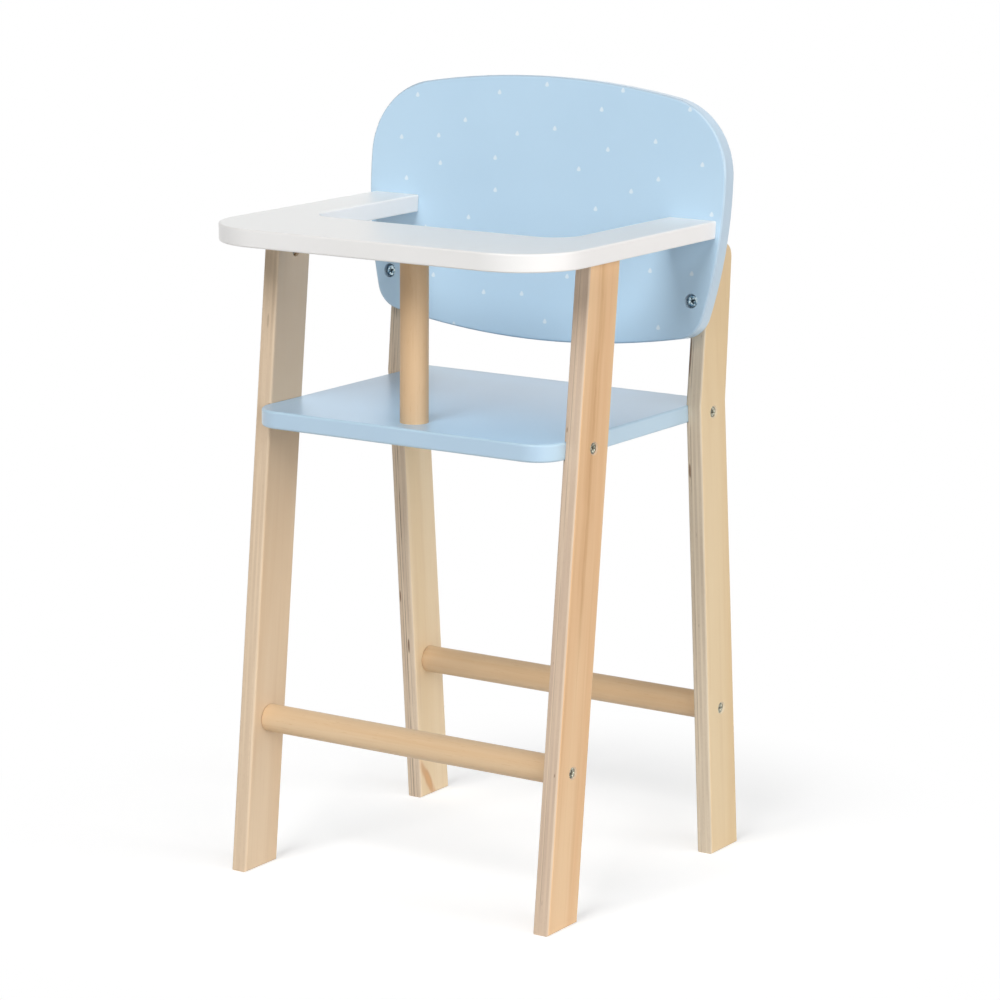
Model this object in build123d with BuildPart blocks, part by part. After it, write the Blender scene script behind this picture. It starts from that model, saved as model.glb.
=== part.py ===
from build123d import *
from math import cos, radians, sin, tan
import os

# A doll's high chair in millimetres: X across it, Y from front to back, Z up from the floor.
# The origin is on the floor, half way across the chair and half way along it.

# Overall sizes: the width is over the legs, and the rises are above the seat
chair_width = 270.0
overall_depth = 291.5
seat_height = 337.8
tray_rise = 133.4
rear_leg_rise = 113.8
rung_height = 109.0

# Board and dowel stock
leg_thickness = 12.7
seat_thickness = 12.7
tray_thickness = 12.7
backrest_thickness = 12.7
rung_diameter = 20.0
post_diameter = 20.0

# Front legs, measured level from front to back, with the lean in degrees
front_leg_depth = 38.3
front_leg_lean = 5.83
front_leg_toe_setback = 27.5

# Rear legs, which bend backwards at the top of the seat and narrow towards the top
rear_leg_foot_depth = 38.2
rear_leg_seat_depth = 35.6
rear_leg_top_depth = 31.4
rear_leg_lower_lean = 4.73
rear_leg_upper_lean = 5.14
rear_leg_top_radius = 11.0

# Seat board, let into a groove in every leg
groove_depth = 2.0
seat_front_overhang = 22.2
seat_rear_setback = 1.0
seat_corner_radius = 22.0

# Tray board, with how far it stands out past the legs on each side
tray_side_overhang = 10.0
tray_bar_depth = 85.7
tray_arm_width = 38.7
tray_outer_radius = 50.0
tray_inner_radius = 22.0

# Backrest board, measured along the slope of the rear legs and from their outer faces
backrest_lift = 35.7
backrest_height = 189.7
backrest_top_overhang = 11.0
backrest_bottom_inset = 0.3
backrest_top_crown = 17.9
backrest_bottom_crown = 14.5
backrest_side_bulge = 9.2
backrest_top_radius = 56.0
backrest_bottom_radius = 22.0
backrest_bolt_drop = 39.1

# Post between the seat and the tray
post_setback = 63.0

# Rounded edges
leg_edge_radius = 1.8
seat_edge_radius = 1.8
tray_edge_radius = 1.4
backrest_edge_radius = 1.6
dowel_end_chamfer = 0.5
corner_limit_share = 0.45

# Countersunk wood screws
screw_diameter = 4.0
screw_head_diameter = 8.0
screw_length = 40.0
screw_tip_length = 5.0
screw_sink = 0.8
countersink_angle = 90.0

# Bolts and their barrel nuts
bolt_diameter = 4.0
bolt_head_diameter = 8.4
bolt_head_height = 3.0
bolt_head_rounding = 0.8
bolt_sink = 1.4
bolt_past_nut = 1.0
counterbore_diameter = 10.2
barrel_nut_diameter = 8.0
barrel_nut_length = 9.0
barrel_nut_chamfer = 0.4
barrel_nut_slot_width = 1.0
barrel_nut_slot_depth = 0.9
tray_nut_drop = 15.0

# Cross recess in the screw and bolt heads
recess_length = 4.6
recess_width = 1.1
recess_depth = 1.6

# Plugs over the tray bolts
plug_thickness = 2.5
plug_gap = 0.4

# Wooden pins
post_pin_diameter = 8.0
post_pin_length = 20.0
post_pin_in_tray = 8.0
arm_pin_diameter = 6.0
arm_pin_length = 24.0
arm_pin_in_backrest = 8.0

# Clearances, the radial ones between a fastener and its hole
groove_clearance = 0.1
joint_gap = 0.1
hole_clearance = 0.1
blind_hole_clearance = 1.0
cut_overrun = 1.0

# Places worked out from the sizes
half_width = chair_width / 2
leg_inner_x = half_width - leg_thickness
leg_middle_x = half_width - leg_thickness / 2
seat_underside = seat_height - seat_thickness
seat_middle_z = seat_height - seat_thickness / 2
rear_leg_height = seat_height + rear_leg_rise
tray_height = seat_height + tray_rise
tray_underside = tray_height - tray_thickness
tray_middle_z = tray_height - tray_thickness / 2
tray_width = chair_width + 2 * tray_side_overhang
tray_front_y = -overall_depth / 2
heel_y = overall_depth / 2
post_y = tray_front_y + post_setback
arm_middle_x = tray_width / 2 - tray_arm_width / 2
groove_end_x = leg_inner_x + groove_depth
seat_end_x = groove_end_x - groove_clearance
screw_seat_x = half_width - screw_sink
screw_tip_x = screw_seat_x - screw_length
screw_radius = screw_diameter / 2
screw_head_radius = screw_head_diameter / 2
screw_hole_radius = screw_radius + hole_clearance
bolt_radius = bolt_diameter / 2
bolt_hole_radius = bolt_radius + hole_clearance
past_nut_depth = barrel_nut_diameter / 2 + bolt_past_nut + blind_hole_clearance
countersink_run = tan(radians(countersink_angle / 2))
countersink_radius = screw_head_radius + screw_sink * countersink_run
tray_nut_z = tray_underside - tray_nut_drop
tray_bolt_seat_z = tray_height - plug_thickness - plug_gap - bolt_head_height
backrest_nut_reach = rear_leg_seat_depth / 2
backrest_counterbore_depth = bolt_sink + bolt_head_height
sides = (-1, 1)


# Where the front of a front leg is at a height
def front_leg_face_y(z):
    return tray_front_y + front_leg_toe_setback + z * tan(radians(front_leg_lean))


# Where the middle of a front leg is at a height
def front_leg_middle_y(z):
    return front_leg_face_y(z) + front_leg_depth / 2


# Where the front of a rear leg is at a height
def rear_leg_face_y(z):
    lower = min(z, seat_height)
    upper = z - lower
    foot_y = heel_y - rear_leg_foot_depth
    return foot_y - lower * tan(radians(rear_leg_lower_lean)) + upper * tan(radians(rear_leg_upper_lean))


# How deep a rear leg is at a height
def rear_leg_depth(z):
    lower = min(z, seat_height)
    upper = z - lower
    lower_gain = (rear_leg_seat_depth - rear_leg_foot_depth) * lower / seat_height
    upper_gain = (rear_leg_top_depth - rear_leg_seat_depth) * upper / rear_leg_rise
    return rear_leg_foot_depth + lower_gain + upper_gain


# Where the back of a rear leg is at a height
def rear_leg_back_y(z):
    return rear_leg_face_y(z) + rear_leg_depth(z)


# Where the middle of a rear leg is at a height
def rear_leg_middle_y(z):
    return rear_leg_face_y(z) + rear_leg_depth(z) / 2


# The plane of the rear legs' upper front edges, which carries the backrest and faces the sitter
back_slope = radians(rear_leg_upper_lean)
back_plane = Plane(
    origin=(0, rear_leg_face_y(seat_height), seat_height),
    x_dir=(1, 0, 0),
    z_dir=(0, -cos(back_slope), sin(back_slope)),
)
front_rung_y = front_leg_middle_y(rung_height)
rear_rung_y = rear_leg_middle_y(rung_height)
tray_bolt_y = front_leg_middle_y(tray_underside)
backrest_bolt_rise = rear_leg_rise / cos(back_slope) - backrest_bolt_drop
pin_slope_drop = backrest_thickness * sin(back_slope)
arm_pin_rise = (tray_middle_z - seat_height - pin_slope_drop) / cos(back_slope)


# A plane parallel to the backrest, at a place given across it, up it and out from the legs
def on_back_plane(across, up, out, facing=1):
    origin = back_plane.from_local_coords((across, up, out))
    return Plane(origin=origin, x_dir=(1, 0, 0), z_dir=back_plane.z_dir * facing)


# A plane across X that looks outwards on one side of the chair
def looking_out(side, x, y, z):
    return Plane(origin=(side * x, y, z), x_dir=(0, side, 0), z_dir=(side, 0, 0))


# A radius that never eats more than its share of the width it rounds
def limited(radius, width):
    return min(radius, width * corner_limit_share)


# The groove for the seat, on the inner face of a leg
def cut_seat_groove(side):
    groove_height = seat_thickness + groove_clearance
    with BuildSketch(Plane.YZ.offset(side * leg_inner_x)) as groove:
        with Locations((0, seat_underside)):
            Rectangle(2 * overall_depth, groove_height, align=(Align.CENTER, Align.MIN))
    extrude(groove.sketch, amount=side * groove_depth, mode=Mode.SUBTRACT)


# A screw hole through a leg, sunk on its outer face
def drill_leg_screw(side, y, z):
    depth = leg_thickness + cut_overrun
    with Locations(looking_out(side, half_width, y, z)):
        CounterSinkHole(screw_hole_radius, countersink_radius, depth, countersink_angle)


# The hole for a barrel nut, from the inner face of a leg
def drill_nut_hole(side, y, z):
    depth = (leg_thickness + barrel_nut_length) / 2 + hole_clearance
    with Locations(looking_out(-side, -leg_inner_x, y, z)):
        Hole(barrel_nut_diameter / 2 + hole_clearance, depth)


def make_front_leg(side):
    bolt_hole_depth = tray_nut_drop + past_nut_depth
    with BuildPart() as leg:
        with BuildSketch(Plane.YZ.offset(side * leg_inner_x)):
            with BuildLine():
                Polyline(
                    (front_leg_face_y(0), 0),
                    (front_leg_face_y(0) + front_leg_depth, 0),
                    (front_leg_face_y(tray_underside) + front_leg_depth, tray_underside),
                    (front_leg_face_y(tray_underside), tray_underside),
                    close=True,
                )
            make_face()
        extrude(amount=side * leg_thickness)
        broad_faces = leg.faces().filter_by(Axis.X)
        # The two top edges stay sharp, under the tray
        rounded_edges = broad_faces.edges().sort_by(Axis.Z)[:-2]
        fillet(rounded_edges, limited(leg_edge_radius, leg_thickness))
        cut_seat_groove(side)
        drill_leg_screw(side, front_leg_middle_y(seat_middle_z), seat_middle_z)
        drill_leg_screw(side, front_rung_y, rung_height)
        drill_nut_hole(side, tray_bolt_y, tray_nut_z)
        with Locations(Plane.XY.offset(tray_underside)):
            with Locations((side * leg_middle_x, tray_bolt_y)):
                Hole(bolt_hole_radius, bolt_hole_depth)
    return leg


def make_rear_leg(side):
    top_radius = limited(rear_leg_top_radius, rear_leg_top_depth)
    bolt_hole_depth = backrest_nut_reach + past_nut_depth
    with BuildPart() as leg:
        with BuildSketch(Plane.YZ.offset(side * leg_inner_x)) as profile:
            with BuildLine():
                Polyline(
                    (rear_leg_face_y(0), 0),
                    (rear_leg_back_y(0), 0),
                    (rear_leg_back_y(seat_height), seat_height),
                    (rear_leg_back_y(rear_leg_height), rear_leg_height),
                    (rear_leg_face_y(rear_leg_height), rear_leg_height),
                    (rear_leg_face_y(seat_height), seat_height),
                    close=True,
                )
            make_face()
            fillet(profile.vertices().group_by(Axis.Y)[-1], top_radius)
        extrude(amount=side * leg_thickness)
        broad_faces = leg.faces().filter_by(Axis.X)
        fillet(broad_faces.edges(), limited(leg_edge_radius, leg_thickness))
        cut_seat_groove(side)
        drill_leg_screw(side, rear_leg_middle_y(seat_middle_z), seat_middle_z)
        drill_leg_screw(side, rear_rung_y, rung_height)
        nut_place = back_plane.from_local_coords((0, backrest_bolt_rise, -backrest_nut_reach))
        drill_nut_hole(side, nut_place.Y, nut_place.Z)
        with Locations(on_back_plane(side * leg_middle_x, backrest_bolt_rise, 0)):
            Hole(bolt_hole_radius, bolt_hole_depth)
    return leg


def make_seat():
    front_y = front_leg_face_y(seat_middle_z) - seat_front_overhang
    rear_y = rear_leg_back_y(seat_height) - seat_rear_setback
    with BuildPart() as seat:
        with BuildSketch(Plane.XY.offset(seat_underside)) as outline:
            with Locations((0, front_y)):
                Rectangle(2 * seat_end_x, rear_y - front_y, align=(Align.CENTER, Align.MIN))
            fillet(outline.vertices().group_by(Axis.Y)[0], limited(seat_corner_radius, seat_end_x))
        extrude(amount=seat_thickness)
        flat_faces = seat.faces().filter_by(Axis.Z)
        fillet(flat_faces.edges(), limited(seat_edge_radius, seat_thickness))
        for side in sides:
            for y in (front_leg_middle_y(seat_middle_z), rear_leg_middle_y(seat_middle_z)):
                with Locations(looking_out(side, seat_end_x, y, seat_middle_z)):
                    Hole(screw_hole_radius, seat_end_x - screw_tip_x + blind_hole_clearance)
        through = seat_thickness + cut_overrun
        with Locations(Plane(origin=(0, post_y, seat_underside), z_dir=(0, 0, -1))):
            CounterSinkHole(screw_hole_radius, countersink_radius, through, countersink_angle)
    return seat


def make_tray():
    arm_reach_y = rear_leg_back_y(rear_leg_height)
    inner_front_y = tray_front_y + tray_bar_depth
    gap_width = tray_width - 2 * tray_arm_width
    gap_length = arm_reach_y - inner_front_y + cut_overrun
    arm_hole_depth = arm_pin_length - arm_pin_in_backrest + blind_hole_clearance
    with BuildPart() as tray:
        with BuildSketch(Plane.XY.offset(tray_underside)) as outline:
            with Locations((0, tray_front_y)):
                Rectangle(tray_width, arm_reach_y - tray_front_y, align=(Align.CENTER, Align.MIN))
            fillet(outline.vertices().group_by(Axis.Y)[0], limited(tray_outer_radius, tray_width))
        extrude(amount=tray_thickness)
        with BuildSketch(Plane.XY.offset(tray_underside)) as gap:
            with Locations((0, inner_front_y)):
                Rectangle(gap_width, gap_length, align=(Align.CENTER, Align.MIN))
            fillet(gap.vertices().group_by(Axis.Y)[0], limited(tray_inner_radius, gap_width))
        extrude(amount=tray_thickness, mode=Mode.SUBTRACT)
        flat_faces = tray.faces().filter_by(Axis.Z)
        fillet(flat_faces.edges(), limited(tray_edge_radius, tray_thickness))
        split(bisect_by=back_plane.offset(backrest_thickness + joint_gap), keep=Keep.TOP)
        for side in sides:
            with Locations(Plane(origin=(side * leg_middle_x, tray_bolt_y, tray_height))):
                CounterBoreHole(
                    bolt_hole_radius,
                    counterbore_diameter / 2,
                    tray_height - tray_bolt_seat_z,
                    tray_thickness + cut_overrun,
                )
            with Locations(on_back_plane(side * arm_middle_x, arm_pin_rise, backrest_thickness, -1)):
                Hole(arm_pin_diameter / 2 + hole_clearance, arm_hole_depth)
        with Locations(Plane(origin=(0, post_y, tray_underside), z_dir=(0, 0, -1))):
            Hole(post_pin_diameter / 2 + hole_clearance, post_pin_in_tray + hole_clearance)
    return tray


def make_backrest():
    top_corner = backrest_lift + backrest_height - backrest_top_crown
    bottom_corner = backrest_lift + backrest_bottom_crown
    top_x = half_width + backrest_top_overhang
    bottom_x = half_width - backrest_bottom_inset
    side_x = (top_x + bottom_x) / 2 + backrest_side_bulge
    side_up = (top_corner + bottom_corner) / 2
    top_up = backrest_lift + backrest_height
    with BuildPart() as board:
        with BuildSketch(back_plane) as outline:
            with BuildLine():
                ThreePointArc((-top_x, top_corner), (0, top_up), (top_x, top_corner))
                ThreePointArc((top_x, top_corner), (side_x, side_up), (bottom_x, bottom_corner))
                ThreePointArc((bottom_x, bottom_corner), (0, backrest_lift), (-bottom_x, bottom_corner))
                ThreePointArc((-bottom_x, bottom_corner), (-side_x, side_up), (-top_x, top_corner))
            make_face()
            corners = outline.vertices()
            fillet(corners.group_by(Axis.Y)[-1], limited(backrest_top_radius, backrest_height))
            corners = outline.vertices().group_by(Axis.Y)[0]
            fillet(corners, limited(backrest_bottom_radius, backrest_height))
        extrude(amount=backrest_thickness)
        flat_faces = board.faces().filter_by(back_plane)
        fillet(flat_faces.edges(), limited(backrest_edge_radius, backrest_thickness))
        for side in sides:
            with Locations(on_back_plane(side * leg_middle_x, backrest_bolt_rise, backrest_thickness)):
                CounterBoreHole(
                    bolt_hole_radius,
                    counterbore_diameter / 2,
                    backrest_counterbore_depth,
                    backrest_thickness + cut_overrun,
                )
            with Locations(on_back_plane(side * arm_middle_x, arm_pin_rise, backrest_thickness)):
                Hole(arm_pin_diameter / 2 + hole_clearance, arm_pin_in_backrest + hole_clearance)
    return board


def make_rung(y):
    with BuildPart() as rung:
        with BuildSketch(Plane.YZ.offset(-leg_inner_x)):
            with Locations((y, rung_height)):
                Circle(rung_diameter / 2)
        extrude(amount=2 * leg_inner_x)
        end_edges = rung.faces().filter_by(Axis.X).edges()
        chamfer(end_edges, limited(dowel_end_chamfer, rung_diameter))
        for side in sides:
            with Locations(looking_out(side, leg_inner_x, y, rung_height)):
                Hole(screw_hole_radius, leg_inner_x - screw_tip_x + blind_hole_clearance)
    return rung


def make_post():
    screw_reach = screw_sink + screw_length - seat_thickness
    pin_hole_depth = post_pin_length - post_pin_in_tray + blind_hole_clearance
    with BuildPart() as post:
        with BuildSketch(Plane.XY.offset(seat_height)):
            with Locations((0, post_y)):
                Circle(post_diameter / 2)
        extrude(amount=tray_underside - seat_height)
        with Locations(Plane(origin=(0, post_y, seat_height), z_dir=(0, 0, -1))):
            Hole(screw_hole_radius, screw_reach + blind_hole_clearance)
        with Locations(Plane(origin=(0, post_y, tray_underside))):
            Hole(post_pin_diameter / 2 + hole_clearance, pin_hole_depth)
    return post


# A cross recess cut into a head whose top lies on the given plane
def cut_cross_recess(head_plane):
    with BuildSketch(head_plane) as cross:
        Rectangle(recess_length, recess_width)
        Rectangle(recess_width, recess_length)
    extrude(cross.sketch, amount=-recess_depth, mode=Mode.SUBTRACT)


# A countersunk wood screw, with the top of its head on the given plane
def add_wood_screw(head_plane):
    hang = (Align.CENTER, Align.CENTER, Align.MAX)
    head_height = (screw_head_radius - screw_radius) / countersink_run
    with Locations(head_plane):
        Cone(screw_radius, screw_head_radius, head_height, align=hang)
    with Locations(head_plane.offset(-head_height)):
        Cylinder(screw_radius, screw_length - head_height - screw_tip_length, align=hang)
    with Locations(head_plane.offset(screw_tip_length - screw_length)):
        Cone(0, screw_radius, screw_tip_length, align=hang)
    cut_cross_recess(head_plane)


def make_leg_screws(y, z):
    with BuildPart() as screws:
        for side in sides:
            add_wood_screw(looking_out(side, screw_seat_x, y, z))
    return screws


def make_post_screw():
    with BuildPart() as screw:
        add_wood_screw(Plane(origin=(0, post_y, seat_underside + screw_sink), z_dir=(0, 0, -1)))
    return screw


# A round-headed bolt whose head rests on the given plane and whose shank runs the length below it
def add_bolt(seat_plane, shank_length):
    stand = (Align.CENTER, Align.CENTER, Align.MIN)
    hang = (Align.CENTER, Align.CENTER, Align.MAX)
    head_top = seat_plane.offset(bolt_head_height)
    upright = Plane(origin=seat_plane.origin, x_dir=seat_plane.x_dir, z_dir=-seat_plane.y_dir)
    with BuildSketch(upright) as profile:
        Rectangle(bolt_head_diameter / 2, bolt_head_height, align=(Align.MIN, Align.MIN))
        outer = profile.vertices().sort_by(Axis.X).group_by(Axis.Y)[-1].sort_by(Axis.X)[-1]
        fillet(outer, limited(bolt_head_rounding, bolt_head_height))
    revolve(profile.sketch, axis=Axis(seat_plane.origin, seat_plane.z_dir))
    with Locations(seat_plane):
        Cylinder(bolt_radius, shank_length, align=hang)
    cut_cross_recess(head_top)


def make_tray_bolts():
    shank = tray_bolt_seat_z - tray_nut_z + barrel_nut_diameter / 2 + bolt_past_nut
    with BuildPart() as bolts:
        for side in sides:
            add_bolt(Plane(origin=(side * leg_middle_x, tray_bolt_y, tray_bolt_seat_z)), shank)
    return bolts


def make_backrest_bolts():
    seat_out = backrest_thickness - backrest_counterbore_depth
    shank = seat_out + backrest_nut_reach + barrel_nut_diameter / 2 + bolt_past_nut
    with BuildPart() as bolts:
        for side in sides:
            add_bolt(on_back_plane(side * leg_middle_x, backrest_bolt_rise, seat_out), shank)
    return bolts


# A barrel nut lying across a leg, slotted at its inner end and bored along the bolt
def add_barrel_nut(side, bore_plane):
    centre = bore_plane.origin
    inner_end = looking_out(-side, -(leg_middle_x - barrel_nut_length / 2), centre.Y, centre.Z)
    with BuildSketch(inner_end) as section:
        Circle(barrel_nut_diameter / 2)
    extrude(section.sketch, amount=-barrel_nut_length)


def make_barrel_nuts(bore_plane_of):
    with BuildPart() as nuts:
        for side in sides:
            add_barrel_nut(side, bore_plane_of(side))
        end_edges = nuts.faces().filter_by(Axis.X).edges()
        chamfer(end_edges, limited(barrel_nut_chamfer, barrel_nut_length))
        for side in sides:
            bore_plane = bore_plane_of(side)
            with Locations(bore_plane.offset(barrel_nut_diameter / 2 + cut_overrun)):
                Hole(bolt_hole_radius, barrel_nut_diameter + 2 * cut_overrun)
            slot_x = leg_middle_x - barrel_nut_length / 2
            with BuildSketch(looking_out(-side, -slot_x, bore_plane.origin.Y, bore_plane.origin.Z)):
                Rectangle(barrel_nut_slot_width, barrel_nut_diameter + cut_overrun)
            extrude(amount=-barrel_nut_slot_depth, mode=Mode.SUBTRACT)
    return nuts


def tray_bore_plane(side):
    return Plane(origin=(side * leg_middle_x, tray_bolt_y, tray_nut_z))


def backrest_bore_plane(side):
    return on_back_plane(side * leg_middle_x, backrest_bolt_rise, -backrest_nut_reach)


def make_tray_plugs():
    with BuildPart() as plugs:
        for side in sides:
            with BuildSketch(Plane.XY.offset(tray_height - plug_thickness)):
                with Locations((side * leg_middle_x, tray_bolt_y)):
                    Circle(counterbore_diameter / 2 - hole_clearance)
            extrude(amount=plug_thickness)
    return plugs


# A wooden pin that stands on the given plane
def add_pin(foot_plane, diameter, length):
    with BuildSketch(foot_plane) as section:
        Circle(diameter / 2)
    extrude(section.sketch, amount=length)


def make_post_pin():
    foot_z = tray_underside + post_pin_in_tray - post_pin_length
    with BuildPart() as pin:
        add_pin(Plane(origin=(0, post_y, foot_z)), post_pin_diameter, post_pin_length)
        chamfer(pin.faces().filter_by(Axis.Z).edges(), dowel_end_chamfer)
    return pin


def make_arm_pins():
    foot_out = backrest_thickness - arm_pin_in_backrest
    with BuildPart() as pins:
        for side in sides:
            foot_plane = on_back_plane(side * arm_middle_x, arm_pin_rise, foot_out)
            add_pin(foot_plane, arm_pin_diameter, arm_pin_length)
        chamfer(pins.faces().filter_by(back_plane).edges(), dowel_end_chamfer)
    return pins


front_leg_left = make_front_leg(-1)
front_leg_left.part.label = "front_leg_left"

front_leg_right = make_front_leg(1)
front_leg_right.part.label = "front_leg_right"

rear_leg_left = make_rear_leg(-1)
rear_leg_left.part.label = "rear_leg_left"

rear_leg_right = make_rear_leg(1)
rear_leg_right.part.label = "rear_leg_right"

seat_board = make_seat()
seat_board.part.label = "seat_board"

tray_board = make_tray()
tray_board.part.label = "tray_board"

backrest = make_backrest()
backrest.part.label = "backrest"

front_rung = make_rung(front_rung_y)
front_rung.part.label = "front_rung"

rear_rung = make_rung(rear_rung_y)
rear_rung.part.label = "rear_rung"

tray_post = make_post()
tray_post.part.label = "tray_post"

seat_front_screws = make_leg_screws(front_leg_middle_y(seat_middle_z), seat_middle_z)
seat_front_screws.part.label = "seat_front_screws"

seat_rear_screws = make_leg_screws(rear_leg_middle_y(seat_middle_z), seat_middle_z)
seat_rear_screws.part.label = "seat_rear_screws"

front_rung_screws = make_leg_screws(front_rung_y, rung_height)
front_rung_screws.part.label = "front_rung_screws"

rear_rung_screws = make_leg_screws(rear_rung_y, rung_height)
rear_rung_screws.part.label = "rear_rung_screws"

post_screw = make_post_screw()
post_screw.part.label = "post_screw"

backrest_bolts = make_backrest_bolts()
backrest_bolts.part.label = "backrest_bolts"

backrest_barrel_nuts = make_barrel_nuts(backrest_bore_plane)
backrest_barrel_nuts.part.label = "backrest_barrel_nuts"

tray_bolts = make_tray_bolts()
tray_bolts.part.label = "tray_bolts"

tray_barrel_nuts = make_barrel_nuts(tray_bore_plane)
tray_barrel_nuts.part.label = "tray_barrel_nuts"

tray_plugs = make_tray_plugs()
tray_plugs.part.label = "tray_plugs"

post_dowel = make_post_pin()
post_dowel.part.label = "post_dowel"

arm_dowels = make_arm_pins()
arm_dowels.part.label = "arm_dowels"

chair = [
    front_leg_left,
    front_leg_right,
    rear_leg_left,
    rear_leg_right,
    seat_board,
    tray_board,
    backrest,
    front_rung,
    rear_rung,
    tray_post,
    seat_front_screws,
    seat_rear_screws,
    front_rung_screws,
    rear_rung_screws,
    post_screw,
    backrest_bolts,
    backrest_barrel_nuts,
    tray_bolts,
    tray_barrel_nuts,
    tray_plugs,
    post_dowel,
    arm_dowels,
]

os.makedirs("parts", exist_ok=True)
for piece in chair:
    export_step(piece.part, f"parts/{piece.part.label}.step")
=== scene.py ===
import bmesh
import bpy
from math import cos, pi, radians, sin, tan
from mathutils import Euler, Matrix, Vector


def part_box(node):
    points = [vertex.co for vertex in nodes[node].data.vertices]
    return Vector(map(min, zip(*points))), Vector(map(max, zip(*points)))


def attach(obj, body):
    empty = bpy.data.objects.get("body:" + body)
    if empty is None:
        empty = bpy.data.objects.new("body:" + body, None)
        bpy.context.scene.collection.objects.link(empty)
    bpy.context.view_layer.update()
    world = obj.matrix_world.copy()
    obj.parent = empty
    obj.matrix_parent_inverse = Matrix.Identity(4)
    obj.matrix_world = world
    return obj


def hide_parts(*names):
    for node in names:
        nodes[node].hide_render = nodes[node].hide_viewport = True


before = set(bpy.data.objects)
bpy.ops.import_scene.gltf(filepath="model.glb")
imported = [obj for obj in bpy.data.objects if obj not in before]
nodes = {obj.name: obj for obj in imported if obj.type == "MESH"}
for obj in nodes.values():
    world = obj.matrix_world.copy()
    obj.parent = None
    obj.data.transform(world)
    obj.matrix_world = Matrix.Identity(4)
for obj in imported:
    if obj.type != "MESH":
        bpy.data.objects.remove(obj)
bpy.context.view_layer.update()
scene = bpy.context.scene
scene.view_settings.view_transform = "Standard"
mm = 0.001
pureWhite = (1, 1, 1, 1)


def linear(r, g, b):
    # a screen colour, 0 to 255, as the shader wants it
    channels = [c / 255 for c in (r, g, b)]
    return tuple(c / 12.92 if c <= 0.04045 else ((c + 0.055) / 1.055) ** 2.4 for c in channels) + (1,)


class Wire:
    # one output socket, so that sums on surfaces read as sums
    def __init__(self, look, socket):
        self.look = look
        self.socket = socket

    def calc(self, operation, a, b=0.0):
        return self.look.add("ShaderNodeMath", {"operation": operation}, {0: a, 1: b})

    def __add__(self, other):
        return self.calc("ADD", self, other)

    def __sub__(self, other):
        return self.calc("SUBTRACT", self, other)

    def __rsub__(self, other):
        return self.calc("SUBTRACT", other, self)

    def __mul__(self, other):
        return self.calc("MULTIPLY", self, other)

    def __truediv__(self, other):
        return self.calc("DIVIDE", self, other)

    def __pow__(self, other):
        return self.calc("POWER", self, other)

    def __abs__(self):
        return self.calc("ABSOLUTE", self)

    def __mod__(self, other):
        return self.calc("FLOORED_MODULO", self, other)

    def whole(self):
        return self.calc("FLOOR", self)

    def largest(self, other):
        return self.calc("MAXIMUM", self, other)

    def ease(self, low, high, atLow=0.0, atHigh=1.0):
        # a smooth step from atLow to atHigh
        values = {"Value": self, "From Min": low, "From Max": high, "To Min": atLow, "To Max": atHigh}
        return self.look.add("ShaderNodeMapRange", {"interpolation_type": "SMOOTHSTEP"}, values)

    def fadeOut(self, low, high, strength=1.0):
        # full strength up to low, nothing past high
        return self.ease(low, high, strength, 0.0)

    def within(self, low, high, soft):
        # 1 between two values, with soft ends
        return self.ease(low - soft, low + soft) * self.fadeOut(high - soft, high + soft)

    def patches(self, layer):
        # a layer's noise as soft patches, up to the layer's strength
        return self.ease(*layer["ease"]) * layer.get("strength", 1.0)


class Look:
    # the shader nodes of one material, or of the room, while they are put together
    def __init__(self, owner):
        owner.use_nodes = True
        self.owner = owner
        self.tree = owner.node_tree
        self.tree.nodes.clear()

    def add(self, kind, settings=None, values=None, out=0):
        made = self.tree.nodes.new(kind)
        for key, value in (settings or {}).items():
            setattr(made, key, value)
        for key, value in (values or {}).items():
            if isinstance(value, Wire):
                self.tree.links.new(value.socket, made.inputs[key])
            else:
                made.inputs[key].default_value = value
        return Wire(self, made.outputs[out]) if made.outputs else None

    def split(self, vector):
        made = self.add("ShaderNodeSeparateXYZ", None, {0: vector})
        return [Wire(self, socket) for socket in made.socket.node.outputs]

    def join(self, x, y, z):
        return self.add("ShaderNodeCombineXYZ", None, {0: x, 1: y, 2: z})

    def place(self):
        # where a point of the surface is, in the chair's own frame
        return self.add("ShaderNodeTexCoord", out="Object")

    def facing(self):
        # the surface's own direction, bumps left out
        return self.split(self.add("ShaderNodeNewGeometry", out="Normal"))

    def noise(self, vector, scale=1.0, detail=2.0, rough=0.5, twist=0.0):
        values = {"Vector": vector, "Scale": scale, "Detail": detail, "Roughness": rough, "Distortion": twist}
        return self.add("ShaderNodeTexNoise", None, values)

    def grain(self, layer, parts, shift=(0.0, 0.0, 0.0)):
        # noise with a scale of its own along each part, shifted so that no two pieces match
        scaled = [part * scale + by for part, scale, by in zip(parts, layer["scales"], shift)]
        details = {key: layer[key] for key in ("detail", "rough", "twist") if key in layer}
        return self.noise(self.join(*scaled), **details)

    def mix(self, factor, a, b):
        # sockets 6 and 7 are the colours going in, 2 the colour coming out
        return self.add("ShaderNodeMix", {"data_type": "RGBA"}, {0: factor, 6: a, 7: b}, 2)

    def bump(self, height, strength, distance):
        values = {"Height": height, "Strength": strength, "Distance": distance}
        return self.add("ShaderNodeBump", None, values)

    def surface(self, **sockets):
        # a principled shader; an underscore in a name stands for a space
        values = {key.replace("_", " "): value for key, value in sockets.items()}
        shader = self.add("ShaderNodeBsdfPrincipled", None, values)
        self.add("ShaderNodeOutputMaterial", None, {"Surface": shader})
        return self.owner


def newLook(name):
    return Look(bpy.data.materials.new(name))


def dress(names, material):
    for name in names:
        for materialSlot in nodes[name].material_slots:
            materialSlot.material = material


print("frame loaded")

# camera: stands where the picture was taken from
camera = {
    "place": (1.398511, -2.138388, 0.810643),
    "azimuth": 32.856,
    "elevation": 11.983,
    "roll": 0.35,
    "lens": 131.802,
    "sensor": 36.0,
}


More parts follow.
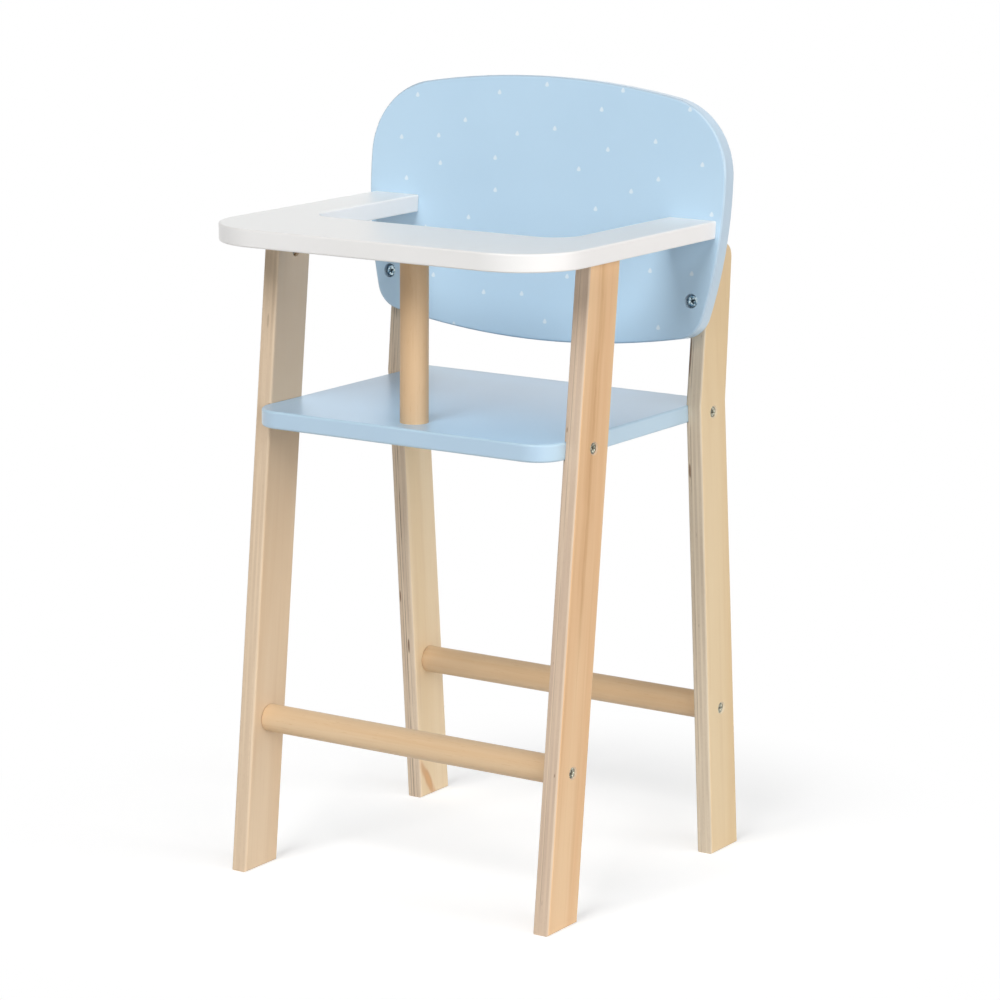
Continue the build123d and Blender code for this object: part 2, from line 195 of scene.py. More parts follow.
def setCamera():
    data = bpy.data.cameras.new("camera")
    data.lens = camera["lens"]
    data.sensor_width = camera["sensor"]
    eye = bpy.data.objects.new("camera", data)
    eye.location = camera["place"]
    aim = Euler((pi / 2 - radians(camera["elevation"]), 0, radians(camera["azimuth"])))
    roll = Matrix.Rotation(radians(camera["roll"]), 3, "Z")
    eye.rotation_euler = (aim.to_matrix() @ roll).to_euler()
    scene.collection.objects.link(eye)
    scene.camera = eye


setCamera()

# light: wide soft lamps, the strongest high in front of the chair, and a fill lamp
# behind it that makes no highlights; directions and spreads are in degrees
lamps = {
    "front": {"azimuth": 2, "elevation": 41, "strength": 2.02, "spread": 30},
    "top": {"azimuth": 20, "elevation": 80, "strength": 0.16, "spread": 60},
    "fill": {"azimuth": 205, "elevation": 20, "strength": 0.7, "spread": 70, "highlights": False},
    "right": {"azimuth": 95, "elevation": 15, "strength": 1.24, "spread": 35},
    "low": {"azimuth": 59, "elevation": 16, "strength": 0.98, "spread": 38},
}


def setLamp(name, lamp):
    data = bpy.data.lights.new(name, "SUN")
    data.energy = lamp["strength"]
    data.angle = radians(lamp["spread"])
    sun = bpy.data.objects.new(name, data)
    sun.visible_glossy = lamp.get("highlights", True)
    sun.rotation_euler = (pi / 2 - radians(lamp["elevation"]), 0, radians(lamp["azimuth"]))
    scene.collection.objects.link(sun)


def seenDirectly(look):
    # 1 for the camera, mirrors and glass, 0 for light on its way round the room
    rays = look.tree.nodes.new("ShaderNodeLightPath")
    kinds = ["Is Camera Ray", "Is Glossy Ray", "Is Transmission Ray"]
    direct, glossy, through = [Wire(look, rays.outputs[kind]) for kind in kinds]
    return direct.largest(glossy).largest(through)


def setRoom():
    # the room is white to look at and in reflections, and is dark for all other light
    room = bpy.data.worlds.new("room")
    scene.world = room
    look = Look(room)
    dark = look.add("ShaderNodeBackground", None, {"Color": pureWhite, "Strength": 0.0})
    white = look.add("ShaderNodeBackground", None, {"Color": pureWhite, "Strength": 1.0})
    both = look.add("ShaderNodeMixShader", None, {0: seenDirectly(look), 1: dark, 2: white})
    look.add("ShaderNodeOutputWorld", None, {"Surface": both})


for lampName, lamp in lamps.items():
    setLamp(lampName, lamp)
setRoom()

# floor: white as seen, with a trace of the chair's shadow that fades between two distances
floor = {
    "radius": 6.0,
    "spokes": 96,
    "glow": 0.552,
    "seen": linear(205, 205, 205),
    "bounce": linear(236, 235, 233),
    "shadowFades": (0.2, 0.43),
}


def makeFloor():
    mesh = bpy.data.meshes.new("floor")
    build = bmesh.new()
    bmesh.ops.create_circle(build, cap_ends=True, radius=floor["radius"], segments=floor["spokes"])
    build.to_mesh(mesh)
    build.free()
    ground = bpy.data.objects.new("floor", mesh)
    scene.collection.objects.link(ground)
    look = newLook("floorPaper")
    x, y = look.split(look.place())[:2]
    away = ((x * x + y * y) ** 0.5).ease(*floor["shadowFades"])
    glow = look.add("ShaderNodeEmission", None, {"Color": pureWhite, "Strength": floor["glow"]})
    white = look.add("ShaderNodeEmission", None, {"Color": pureWhite, "Strength": 1.0})
    shade = look.add("ShaderNodeBsdfDiffuse", None, {"Color": floor["seen"]})
    paper = look.add("ShaderNodeBsdfDiffuse", None, {"Color": floor["bounce"]})
    shadowed = look.add("ShaderNodeAddShader", None, {0: glow, 1: shade})
    seen = look.add("ShaderNodeMixShader", None, {0: away, 1: shadowed, 2: white})
    both = look.add("ShaderNodeMixShader", None, {0: seenDirectly(look), 1: paper, 2: seen})
    look.add("ShaderNodeOutputMaterial", None, {"Surface": both})
    mesh.materials.append(look.owner)


makeFloor()
print("camera, light and floor set")

# plywood legs: veneer with soft streaks on the broad faces, plies on the sawn edges
plywood = {
    "glue": linear(186, 160, 132),
    "line": linear(132, 106, 88),
    "void": linear(118, 88, 64),
    "heartLine": linear(192, 142, 96),
    "knot": linear(220, 170, 120),
    "knotRim": linear(190, 138, 94),
    "broadFrom": (0.6, 0.9),
    "roughness": 0.6,
    "smootherFace": 0.12,
    "rougherFibres": 0.1,
    "specular": 0.35,
    "bump": (0.3, 0.12 * mm),
}
# noise on the broad faces, with its scales across the leg, through it and along it
veneerLayers = {
    "bands": {"scales": (34, 1, 2.2), "detail": 3, "twist": 0.5, "ease": (0.34, 0.68)},
    "streaks": {
        "scales": (210, 1, 4.5),
        "detail": 4,
        "rough": 0.55,
        "twist": 0.3,
        "ease": (0.5, 0.78),
        "height": 0.2,
    },
    "fibres": {"scales": (1300, 1, 26), "detail": 2, "ease": (0.5, 0.85), "strength": 0.16, "height": 0.5},
}
# the tree's heart in a veneer: a darker band, and in its middle a fine line that is broken here and there
heartwood = {
    "wander": {"scales": (1, 1, 11), "detail": 2, "reach": 16 * mm},
    "waver": {"scales": (1, 1, 70), "detail": 3, "reach": 4 * mm, "seedStep": 4.0},
    "breaks": {"scales": (1, 12, 34), "detail": 3, "ease": (0.34, 0.58)},
    "core": 0.2,
    "softEnds": 50 * mm,
    "plain": 0.35,
    "streaked": {"ease": (0.36, 0.66), "strength": 0.5},
    "lineWidth": 1.9 * mm,
}
# noise on the sawn edges, with its scales through the leg, across it and along it
edgeLayers = {
    "wander": {"scales": (60, 40, 7)},
    "tone": {"scales": (3.7, 20, 9), "detail": 2, "ease": (0.3, 0.7), "strength": 0.5},
    "fade": {"scales": (1.9, 15, 16), "detail": 2, "ease": (0.35, 0.7)},
    "grain": {"scales": (1500, 120, 13), "detail": 3, "ease": (0.48, 0.8), "strength": 0.45, "height": 0.5},
    "ends": {"scales": (900, 420, 420), "detail": 2, "ease": (0.4, 0.8), "strength": 0.2},
    "pits": {"scales": (330, 80, 62), "detail": 1, "ease": (0.76, 0.8), "strength": 0.85, "height": 2.5},
    "breaks": {"scales": (9, 20, 21), "detail": 3, "ease": (0.36, 0.6)},
}
# the plies in a sawn edge: each second one shows its end grain, and glue lies between them
plies = {
    "count": 7,
    "wander": 0.5,
    "crosswise": 0.3,
    "glue": {"ease": (0.38, 0.5), "strength": 0.4, "height": 0.3},
    "line": {"ease": (0.008, 0.04), "wander": 0.09},
}
# flaws in the wood: how ragged they are, and how their tones spread round the outline
flaws = {
    "ragged": {"scales": (190, 60, 1), "detail": 3, "reach": 0.9},
    "void": {"fadeOut": (0.6, 1.1), "strength": 0.85},
    "knot": {"fadeOut": (0.2, 1.4), "strength": 0.9},
    "knotRim": {"within": (0.5, 0.8, 0.3), "strength": 0.4},
    "shownFrom": (0.3, 0.8),
}
# each leg, with its lean in degrees; a line on its edge lies at a share of the thickness and has a
# strength, and a flaw's middle says how far sideways and how high it is
legs = {
    "front_leg_right": {
        "lean": 5.83,
        "seed": 3.1,
        "veneer": ((228, 194, 154), (220, 178, 134), (202, 157, 111)),
        "edge": ((217, 195, 171), (192, 168, 149)),
        "lines": [(0.38, 0.4)],
        "heart": {
            "middle": -102.5 * mm,
            "width": 9 * mm,
            "from": 210 * mm,
            "to": 470 * mm,
            "strength": 0.85,
            "line": 0.42,
        },
        "streaks": 0.45,
    },
    "front_leg_left": {
        "lean": 5.83,
        "seed": 8.4,
        "veneer": ((225, 201, 171), (218, 189, 155), (196, 161, 123)),
        "edge": ((221, 199, 172), (201, 177, 150)),
        "streaks": 0.15,
        # painted shade: the leg's broad faces grey towards the top, under the tray
        "paintedTrayShade": {"tone": (199, 177, 153), "from": 200 * mm, "to": 420 * mm, "strength": 0.9},
        "voids": [
            {"middle": (-128.6 * mm, 396 * mm), "size": (1.0 * mm, 6 * mm), "strength": 0.32},
        ],
    },
    "rear_leg_right": {
        "lean": -4.7,
        "seed": 14.9,
        "veneer": ((223, 200, 163), (217, 190, 149), (201, 168, 125)),
        "edge": ((225, 210, 187), (198, 181, 159)),
        "lines": [(0.27, 0.45)],
        "streaks": 0.2,
        "voids": [
            {"middle": (123.6 * mm, 374 * mm), "size": (1.4 * mm, 17 * mm)},
            {"middle": (124.6 * mm, 290 * mm), "size": (0.9 * mm, 6 * mm)},
        ],
    },
    "rear_leg_left": {
        "lean": -4.7,
        "seed": 21.7,
        "veneer": ((242, 221, 189), (236, 211, 173), (219, 187, 147)),
        "edge": ((229, 210, 186), (200, 178, 156)),
        "lines": [(0.30, 0.55), (0.46, 0.9), (0.68, 0.35)],
        "streaks": 0.25,
        "knots": [
            {"middle": (116.5 * mm, 13 * mm), "size": (4.6 * mm, 17 * mm), "slope": -0.6},
        ],
        "voids": [
            {"middle": (-127.4 * mm, 122 * mm), "size": (0.8 * mm, 6 * mm)},
            {"middle": (-133.0 * mm, 161 * mm), "size": (0.7 * mm, 5 * mm)},
        ],
    },
}


def heartLook(look, leg, veneer, deep, streaks, across, z):
    heart = leg["heart"]
    seed = leg["seed"]
    wander = look.grain(heartwood["wander"], (0.0, 0.0, z), (seed, 0.0, 0.0)) - 0.5
    off = across - heart["middle"] + wander * heartwood["wander"]["reach"]
    length = z.within(heart["from"], heart["to"], heartwood["softEnds"])
    band = abs(off).fadeOut(heart["width"] * heartwood["core"], heart["width"]) * length * heart["strength"]
    streaked = streaks.patches(heartwood["streaked"]) + heartwood["plain"]
    veneer = look.mix(band * streaked, veneer, deep)
    breaks = look.grain(heartwood["breaks"], (0.0, across, z), (seed, 0.0, 0.0))
    lineSeed = seed + heartwood["waver"]["seedStep"]
    waver = look.grain(heartwood["waver"], (0.0, 0.0, z), (lineSeed, 0.0, 0.0)) - 0.5
    offLine = abs(off + waver * heartwood["waver"]["reach"])
    line = offLine.fadeOut(0.0, heartwood["lineWidth"], heart["line"]) * length
    return look.mix(line * breaks.patches(heartwood["breaks"]), veneer, plywood["heartLine"])


def veneerLook(look, leg, across, depth, z):
    # wide soft bands, darker streaks and fine fibres, all along the leg
    layers = veneerLayers
    pale, warm, deep = [linear(*colour) for colour in leg["veneer"]]
    parts = (across, depth, z)
    bands, streaks, fibres = [look.grain(layer, parts, (0.0, leg["seed"], 0.0)) for layer in layers.values()]
    veneer = look.mix(bands.patches(layers["bands"]), pale, warm)
    veneer = look.mix(streaks.patches(layers["streaks"]) * leg["streaks"], veneer, deep)
    if "heart" in leg:
        veneer = heartLook(look, leg, veneer, deep, streaks, across, z)
    # painted shade under the tray, on legs that have it: the veneer greys towards the top
    if "paintedTrayShade" in leg:
        paintedTrayShade = leg["paintedTrayShade"]
        shown = z.ease(paintedTrayShade["from"], paintedTrayShade["to"]) * paintedTrayShade["strength"]
        veneer = look.mix(shown, veneer, linear(*paintedTrayShade["tone"]))
    veneer = look.mix(fibres.patches(layers["fibres"]), veneer, deep)
    height = fibres * layers["fibres"]["height"] + streaks * layers["streaks"]["height"]
    return veneer, height, fibres


def edgeLook(look, leg, x, across, depth, z):
    # plies stacked through the thickness, each with a tone of its own
    layers = edgeLayers
    seed = leg["seed"]
    plain, grey = [linear(*colour) for colour in leg["edge"]]
    wander = look.grain(layers["wander"], (x, across, z)) - 0.5
    count = depth * plies["count"] + wander * plies["wander"]
    ply = count.whole()
    crosswise = ply % 2.0
    glue = abs(count % 1.0 - 0.5).ease(*plies["glue"]["ease"])
    tone = look.grain(layers["tone"], (ply, across, z), (seed, 0.0, 0.0)).patches(layers["tone"])
    fade = look.grain(layers["fade"], (ply, across, z), (-seed, 0.0, 0.0)).patches(layers["fade"])
    grain = look.grain(layers["grain"], (x, across, z))
    ends = look.grain(layers["ends"], (x, across, z)).patches(layers["ends"])
    edge = look.mix(tone + crosswise * fade * plies["crosswise"], plain, grey)
    edge = look.mix(grain.patches(layers["grain"]), edge, grey)
    edge = look.mix(crosswise * ends, edge, plywood["glue"])
    edge = look.mix(glue * fade * plies["glue"]["strength"], edge, plywood["glue"])
    for place, strength in leg.get("lines", []):
        breaks = look.grain(layers["breaks"], (place, across, z), (seed, 0.0, 0.0)).patches(layers["breaks"])
        off = abs(depth - place + wander * plies["line"]["wander"])
        edge = look.mix(off.fadeOut(*plies["line"]["ease"], strength) * breaks, edge, plywood["line"])
    pits = look.grain(layers["pits"], (x, across, z), (0.0, seed, 0.0))
    pits = pits.ease(*layers["pits"]["ease"]) * crosswise
    edge = look.mix(pits * layers["pits"]["strength"], edge, plywood["void"])
    height = grain * layers["grain"]["height"] - glue * plies["glue"]["height"]
    return edge, height - pits * layers["pits"]["height"]


def flawDistance(look, flaw, seed, sideways, z):
    # 1 on a flaw's outline, less inside it and more outside
    middle, middleZ = flaw["middle"]
    wide, high = flaw["size"]
    offSideways = (sideways - (z - middleZ) * flaw.get("slope", 0.0) - middle) / wide
    offUp = (z - middleZ) / high
    ragged = look.grain(flaws["ragged"], (sideways, z, 0.0), (0.0, 0.0, seed)) - 0.5
    return (offSideways * offSideways + offUp * offUp) ** 0.5 + ragged * flaws["ragged"]["reach"]


def addFlaws(look, leg, colour, x, y, z, faceX, faceY):
    # knots on the leg's right face, voids on its front edge
    void, knot, rim = flaws["void"], flaws["knot"], flaws["knotRim"]
    onFace = faceX.ease(*flaws["shownFrom"])
    onEdge = (faceY * -1).ease(*flaws["shownFrom"])
    for flaw in leg.get("knots", []):
        far = flawDistance(look, flaw, leg["seed"], y, z)
        inside = far.fadeOut(*knot["fadeOut"], knot["strength"])
        colour = look.mix(inside * onFace, colour, plywood["knot"])
        colour = look.mix(far.within(*rim["within"]) * onFace * rim["strength"], colour, plywood["knotRim"])
    for flaw in leg.get("voids", []):
        far = flawDistance(look, flaw, leg["seed"], x, z)
        inside = far.fadeOut(*void["fadeOut"], flaw.get("strength", void["strength"]))
        colour = look.mix(inside * onEdge, colour, plywood["void"])
    return colour


def plywoodLook(name, leg):
    near, away = [corner.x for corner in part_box(name)]
    look = newLook(name + ".plywood")
    x, y, z = look.split(look.place())
    faceX, faceY = look.facing()[:2]
    across = y - z * tan(radians(leg["lean"]))
    depth = (x - near) / (away - near)
    veneer, veneerHeight, fibres = veneerLook(look, leg, across, depth, z)
    edge, edgeHeight = edgeLook(look, leg, x, across, depth, z)
    broad = abs(faceX).ease(*plywood["broadFrom"])
    colour = addFlaws(look, leg, look.mix(broad, edge, veneer), x, y, z, faceX, faceY)
    roughness = broad * -plywood["smootherFace"] + plywood["roughness"] + fibres * plywood["rougherFibres"]
    return look.surface(
        Base_Color=colour,
        Roughness=roughness,
        Normal=look.bump(broad * veneerHeight + (1 - broad) * edgeHeight, *plywood["bump"]),
        Specular_IOR_Level=plywood["specular"],
    )


for legName, leg in legs.items():
    dress([legName], plywoodLook(legName, leg))

# dowels: turned, close grained wood
dowel = {
    "pale": linear(222, 194, 158),
    "warm": linear(212, 178, 138),
    "pore": linear(190, 146, 102),
    "roughness": 0.42,
    "rougherFibres": 0.12,
    "specular": 0.35,
    "bump": (0.25, 0.08 * mm),
}
# noise in a rod, with two scales across it and one along it
dowelLayers = {
    "rings": {"scales": (80, 80, 3), "detail": 3, "twist": 0.3, "ease": (0.3, 0.75)},
    "fibres": {"scales": (900, 900, 20), "detail": 2, "ease": (0.5, 0.85), "strength": 0.2, "height": 0.5},
    "pores": {"scales": (1500, 1500, 110), "detail": 1, "ease": (0.66, 0.74), "strength": 0.3, "height": 1.0},
}
rods = {
    "front_rung": {"axis": "x", "seed": 2.3},
    "rear_rung": {"axis": "x", "seed": 5.9},
    # painted shade: the post, standing under the tray, is darkened towards the pore tone
    "tray_post": {"axis": "z", "seed": 9.2, "paintedPostShade": 0.25},
    "post_dowel": {"axis": "z", "seed": 12.4},
    "arm_dowels": {"axis": "y", "seed": 15.5},
}


def dowelLook(name, rod):
    layers = dowelLayers
    look = newLook(name + ".wood")
    x, y, z = look.split(look.place())
    parts = {"x": (y, z, x), "y": (z, x, y), "z": (x, y, z)}[rod["axis"]]
    rings, fibres, pores = [look.grain(layer, parts, (rod["seed"], 0.0, 0.0)) for layer in layers.values()]
    pores = pores.ease(*layers["pores"]["ease"])
    colour = look.mix(rings.patches(layers["rings"]), dowel["pale"], dowel["warm"])
    # painted shade, on rods that have it
    colour = look.mix(rod.get("paintedPostShade", 0.0), colour, dowel["pore"])
    colour = look.mix(fibres.patches(layers["fibres"]), colour, dowel["pore"])
    colour = look.mix(pores * layers["pores"]["strength"], colour, dowel["pore"])
    height = fibres * layers["fibres"]["height"] - pores * layers["pores"]["height"]
    return look.surface(
        Base_Color=colour,
        Roughness=fibres * dowel["rougherFibres"] + dowel["roughness"],
        Normal=look.bump(height, *dowel["bump"]),
        Specular_IOR_Level=dowel["specular"],
    )


for rodName, rod in rods.items():
    dress([rodName], dowelLook(rodName, rod))
print("wood finished")

# painted boards: satin paint, cloudy in a wide soft pattern, with a faint roller texture; its rim and its
# upward faces take tones of their own, painted light and shade, and on the rounded edges between a board's
# faces and its rim it turns to the rim's tone, a painted shade that damps their highlight, and its coat is
# thinner
paint = {
    "mark": linear(232, 241, 247),
    "markStrength": 0.7,
    "clouds": {"scale": 9, "detail": 3},
    "cloudsOnFace": {"ease": (0.35, 0.7), "strength": 0.5},
    "cloudsOnRim": 0.2,
    "roller": {"scale": 650, "detail": 2, "rough": 0.6},
    "rollerOnFace": 0.15,
    "rimFrom": (0.5, 0.95),
    "topAt": 0.99,
    # the rounded edges: where they lie, how far they take the rim's tone as painted shade, and how much
    # thinner their coat is
    "rounded": {"within": (0.2, 0.93, 0.05), "strength": 0.8, "thinner": 0.75},
    "roughness": 0.36,
    "rougher": {"clouds": 0.08, "roller": 0.06, "marks": 0.06},
    "specular": 0.45,
    "coatRoughness": 0.3,
    "bump": (0.14, 0.06 * mm),
}
# the tones of each board; its faces look along the axis "flat"; "rim" and "top" are the paint's tones on
# the side edges and upward faces, with the light and shade that fall there painted in
painted = {
    "backrest": {
        "face": (linear(187, 216, 237), linear(180, 210, 232)),
        "rim": linear(176, 196, 212),
        "top": linear(180, 204, 224),
        "topFrom": 0.5,
        "coat": 1.0,
        "flat": "y",
    },
    "seat": {
        "face": (linear(177, 203, 223), linear(170, 197, 219)),
        "rim": linear(179, 205, 222),
        "top": linear(158, 199, 230),
        "topFrom": 0.92,
        "coat": 1.0,
        "flat": "z",
    },
    "tray": {
        "face": (linear(236, 235, 234), linear(230, 229, 227)),
        "rim": linear(236, 233, 231),
        "top": linear(238, 238, 236),
        "topFrom": 0.5,
        "coat": 0.8,
        "flat": "z",
    },
}


def paintLook(name, marks=None):
    coat = painted[name]
    rounded, rougher = paint["rounded"], paint["rougher"]
    look = newLook(name + ".paint")
    point = look.place()
    faceX, faceY, faceZ = look.facing()
    clouds = look.noise(point, **paint["clouds"])
    roller = look.noise(point, **paint["roller"])
    even = 1 - clouds * paint["cloudsOnRim"]
    uneven = clouds.patches(paint["cloudsOnFace"]) + roller * paint["rollerOnFace"]
    colour = look.mix(uneven, *coat["face"])
    # painted light and shade: the side edges and upward faces turn to their own tones, and the rounded edges
    # to the rim's tone
    colour = look.mix(abs(faceX).ease(*paint["rimFrom"]) * even, colour, coat["rim"])
    colour = look.mix(faceZ.ease(coat["topFrom"], paint["topAt"]) * even, colour, coat["top"])
    bent = abs({"y": faceY, "z": faceZ}[coat["flat"]]).within(*rounded["within"])
    colour = look.mix(bent * rounded["strength"], colour, coat["rim"])
    roughness = clouds * rougher["clouds"] + roller * rougher["roller"] + paint["roughness"]
    if marks:
        spots = marks(look, point)
        colour = look.mix(spots * paint["markStrength"], colour, paint["mark"])
        roughness = roughness + spots * rougher["marks"]
    return look.surface(
        Base_Color=colour,
        Roughness=roughness,
        Normal=look.bump(roller, *paint["bump"]),
        Specular_IOR_Level=paint["specular"],
        Coat_Weight=(1 - bent * rounded["thinner"]) * coat["coat"],
        Coat_Roughness=paint["coatRoughness"],
    )


# how far the backrest leans back
backrestTilt = radians(5.14)
# its scattered white drops, on a turned grid, with a bare patch low in the middle
drops = {
    "turn": radians(24.0),
    "spacing": 33 * mm,
    "scatter": 0.5,
    "width": 1.7 * mm,
    "height": 1.85 * mm,
    "belly": 0.9,
    "waist": 0.35,
    "soft": 0.55 * mm,
    "bareAcross": 36 * mm,
    "bareUp": (74 * mm, 116 * mm),
    "bareSoft": 1 * mm,
    "frontFrom": (0.9, 0.97),
}


def dropMarks(look, point):
    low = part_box("backrest")[0]
    x, y, z = look.split(point)
    turn = drops["turn"]
    pitch = drops["spacing"]
    up = (z - low.z) * cos(backrestTilt) + (y - low.y) * sin(backrestTilt)
    u = (x * cos(turn) + up * sin(turn)) / pitch
    v = (up * cos(turn) - x * sin(turn)) / pitch
    settings = {"voronoi_dimensions": "2D", "feature": "F1"}
    values = {"Vector": look.join(u, v, 0.0), "Scale": 1.0, "Randomness": drops["scatter"]}
    centreU, centreV = look.split(look.add("ShaderNodeTexVoronoi", settings, values, "Position"))[:2]
    offU, offV = u - centreU, v - centreV
    sideways = (offU * cos(turn) - offV * sin(turn)) * pitch
    upwards = (offU * sin(turn) + offV * cos(turn)) * pitch
    rise = (upwards / drops["height"] + 1) / 2
    taper = (1 - rise).largest(0.0)
    outline = (rise.largest(0.0) * taper) ** 0.5 * (taper * drops["belly"] + drops["waist"])
    halfWidth = outline * 2 * drops["width"]
    ends = upwards.within(-drops["height"], drops["height"], drops["soft"])
    inside = (halfWidth - abs(sideways)).ease(-drops["soft"], drops["soft"]) * ends
    bare = (drops["bareAcross"] - abs(x - sideways)).ease(-drops["bareSoft"], drops["bareSoft"])
    bare = bare * (up - upwards).within(*drops["bareUp"], drops["bareSoft"])
    front = (look.facing()[1] * -1).ease(*drops["frontFrom"])
    return inside * (1 - bare) * front


dress(["backrest"], paintLook("backrest", dropMarks))
dress(["seat_board"], paintLook("seat"))
dress(["tray_board", "tray_plugs"], paintLook("tray"))
print("paint finished")

# screws, bolts and nuts: zinc plated, with painted shade in the recess and round the rim of the heads
zinc = {
    "screws": {"bright": linear(190, 188, 170), "dull": linear(110, 110, 98), "paintedShade": linear(66, 58, 48)},
    # the bolts' tones are tinted blue, a painted reflection of the blue backrest round them
    "bolts": {"bright": linear(206, 224, 230), "dull": linear(92, 124, 144), "paintedShade": linear(36, 54, 64)},
    # the nuts' tones are tinted brown, painted shade for the dim holes they sit in
    "nuts": {"bright": linear(206, 188, 166), "dull": linear(176, 158, 138), "paintedShade": linear(50, 44, 38)},
}
plating = {
    "blotches": {"scale": 520, "detail": 3},
    "dullFrom": (0.36, 0.62),
    "scratches": {"scales": (4000, 900, 900), "detail": 2},
    "roughness": 0.28,
    "smootherDull": 0.1,
    "rougherInShade": 0.3,
    "lessMetalInShade": 0.6,
    "bump": (0.2, 0.02 * mm),
}


def zincLook(kind):
    tones = zinc[kind]
    look = newLook("zinc." + kind)
    point = look.place()
    dull = look.noise(point, **plating["blotches"]).ease(*plating["dullFrom"])
    scratches = look.grain(plating["scratches"], look.split(point))
    # painted shade, stored on the turned heads: it darkens the colour and makes the surface less metallic and
    # rougher
    paintedShade = look.add("ShaderNodeAttribute", {"attribute_name": "paintedShade"}, out="Fac")
    return look.surface(
        Base_Color=look.mix(paintedShade, look.mix(dull, tones["bright"], tones["dull"]), tones["paintedShade"]),
        Metallic=1 - paintedShade * plating["lessMetalInShade"],
        Roughness=dull * -plating["smootherDull"] + plating["roughness"] + paintedShade * plating["rougherInShade"],
        Normal=look.bump(scratches, *plating["bump"]),
    )


zincLooks = {kind: zincLook(kind) for kind in zinc}
dress(["tray_bolts"], zincLooks["bolts"])
dress(["backrest_barrel_nuts", "tray_barrel_nuts"], zincLooks["nuts"])

# turned heads with a tapered cross recess, for the screws and the backrest's bolts
head = {
    "spokes": 48,
    "rings": 14,
    "armHalfWidth": 0.75 * mm,
    "armHalfLength": 2.5 * mm,
    "recessDepth": 1.7 * mm,
    "wallRun": 0.28 * mm,
    "endRun": 1.3 * mm,
    "topShare": 0.93,
    "rimShare": 0.985,
    "rimDrop": 0.12 * mm,
    "edgeDrop": 0.32 * mm,
    # painted shade round the rim of the head, none on its neck
    "paintedShade": {"rim": 1.0, "neck": 0.0},
    "turnPerNode": 0.4,
    "turnPerSide": 0.7,
}
boltsOut = Vector((0, -cos(backrestTilt), sin(backrestTilt)))
# a pair sits on sides -1 and 1 of the chair and its heads look outwards, if "out" says nothing else;
# the post's screw sits in the middle, which is side 0
fasteners = {
    "seat_front_screws": {"shape": "screw"},
    "seat_rear_screws": {"shape": "screw"},
    "front_rung_screws": {"shape": "screw"},
    "rear_rung_screws": {"shape": "screw"},
    "post_screw": {"shape": "screw", "sides": (0,), "out": Vector((0, 0, -1))},
    "backrest_bolts": {"shape": "bolt", "out": boltsOut},
}
# how high a head is domed, if its side is straight, how thick its neck is as a share of the head,
# how far under the top the neck starts, and how long the point at its end is
shapes = {
    "screw": {"dome": 0.0, "straight": False, "neckShare": 0.5, "neckAt": 2.1 * mm, "tip": 5 * mm},
    "bolt": {"dome": 0.8 * mm, "straight": True, "neckShare": 0.476, "neckAt": 3.0 * mm, "tip": 0.6 * mm},
}


def measureFastener(node, side, out):
    # a head's middle, two directions on it, its radius and the fastener's length, read from the solid
    right = Vector((0, 1, 0)) if abs(out.x) > 0.5 else Vector((1, 0, 0))
    up = out.cross(right)
    points = [v.co for v in nodes[node].data.vertices if side == 0 or v.co.x * side > 0]
    spans = []
    for axis in (right, up, out):
        places = [p.dot(axis) for p in points]
        spans.append((min(places), max(places)))
    rightSpan, upSpan, outSpan = spans
    middle = right * (sum(rightSpan) / 2) + up * (sum(upSpan) / 2) + out * outSpan[1]
    return middle, right, up, (rightSpan[1] - rightSpan[0]) / 2, outSpan[1] - outSpan[0]


def recessAt(a, b, turn):
    # how far the cross goes down at a place on the head
    a, b = a * cos(turn) - b * sin(turn), a * sin(turn) + b * cos(turn)
    near, far = sorted((abs(a), abs(b)))
    wall = (head["armHalfWidth"] - near) / head["wallRun"]
    end = (head["armHalfLength"] - far) / head["endRun"]
    return head["recessDepth"] * max(0.0, min(1.0, wall, end))


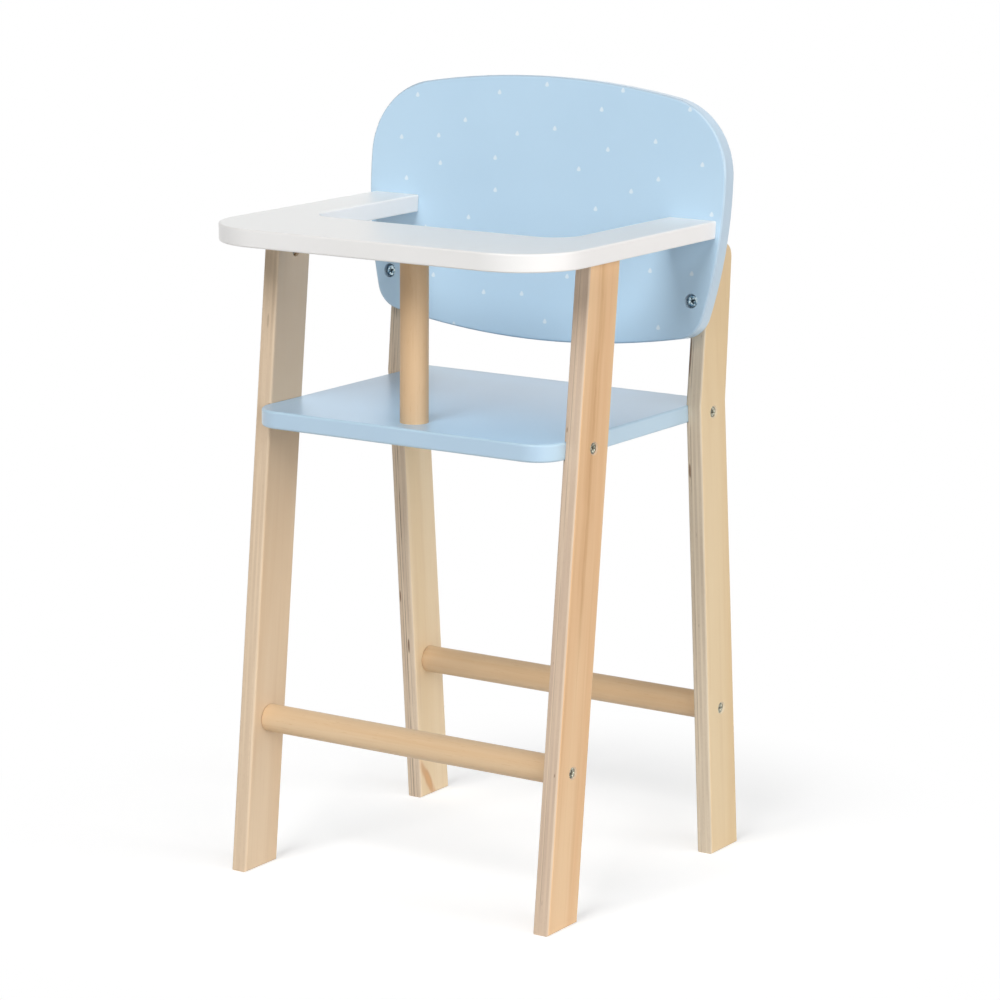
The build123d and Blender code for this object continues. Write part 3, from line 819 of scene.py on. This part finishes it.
def fastenerProfile(form, radius, length):
    # each ring's radius, height and part, from the middle of the head down to the point
    profile = []
    for step in range(1, head["rings"] + 1):
        share = step / head["rings"]
        profile.append((radius * head["topShare"] * share, -form["dome"] * share ** 2, "top"))
    profile.append((radius * head["rimShare"], -form["dome"] - head["rimDrop"], "rim"))
    profile.append((radius, -form["dome"] - head["edgeDrop"], "rim"))
    if form["straight"]:
        profile.append((radius, -form["neckAt"], "rim"))
    profile.append((radius * form["neckShare"], -form["neckAt"], "neck"))
    profile.append((radius * form["neckShare"], form["tip"] - length, "neck"))
    return profile


def addFastener(build, paintedShade, node, side, out, form, turn):
    # the rings on top of the head follow the cross down, and the deeper they go, the more painted shade they
    # take
    middle, right, up, radius, length = measureFastener(node, side, out)
    tip = build.verts.new(middle - out * length)
    top = build.verts.new(middle - out * head["recessDepth"])
    top[paintedShade] = 1.0
    rings = []
    for ringRadius, height, part in fastenerProfile(form, radius, length):
        ring = []
        for spoke in range(head["spokes"]):
            angle = 2 * pi * spoke / head["spokes"]
            a, b = ringRadius * cos(angle), ringRadius * sin(angle)
            down = recessAt(a, b, turn) if part == "top" else 0.0
            corner = build.verts.new(middle + right * a + up * b + out * (height - down))
            corner[paintedShade] = down / head["recessDepth"] if part == "top" else head["paintedShade"][part]
            ring.append(corner)
        rings.append(ring)
    for spoke in range(head["spokes"]):
        after = (spoke + 1) % head["spokes"]
        build.faces.new((top, rings[0][spoke], rings[0][after]))
        for upper, lower in zip(rings, rings[1:]):
            build.faces.new((upper[spoke], lower[spoke], lower[after], upper[after]))
        build.faces.new((rings[-1][spoke], tip, rings[-1][after]))


def makeFasteners(node, plan, turn):
    build = bmesh.new()
    paintedShade = build.verts.layers.float.new("paintedShade")
    for side in plan.get("sides", (-1, 1)):
        out = plan.get("out", Vector((side, 0, 0)))
        addFastener(build, paintedShade, node, side, out, shapes[plan["shape"]], turn + side * head["turnPerSide"])
    bmesh.ops.recalc_face_normals(build, faces=build.faces)
    mesh = bpy.data.meshes.new(node + ".turned")
    build.to_mesh(mesh)
    build.free()
    for face in mesh.polygons:
        face.use_smooth = True
    mesh.materials.append(zincLooks[plan["shape"] + "s"])
    piece = bpy.data.objects.new(node + ".turned", mesh)
    scene.collection.objects.link(piece)
    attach(piece, "root")
    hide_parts(node)


for number, (node, plan) in enumerate(fasteners.items()):
    makeFasteners(node, plan, number * head["turnPerNode"])
print("metal finished")
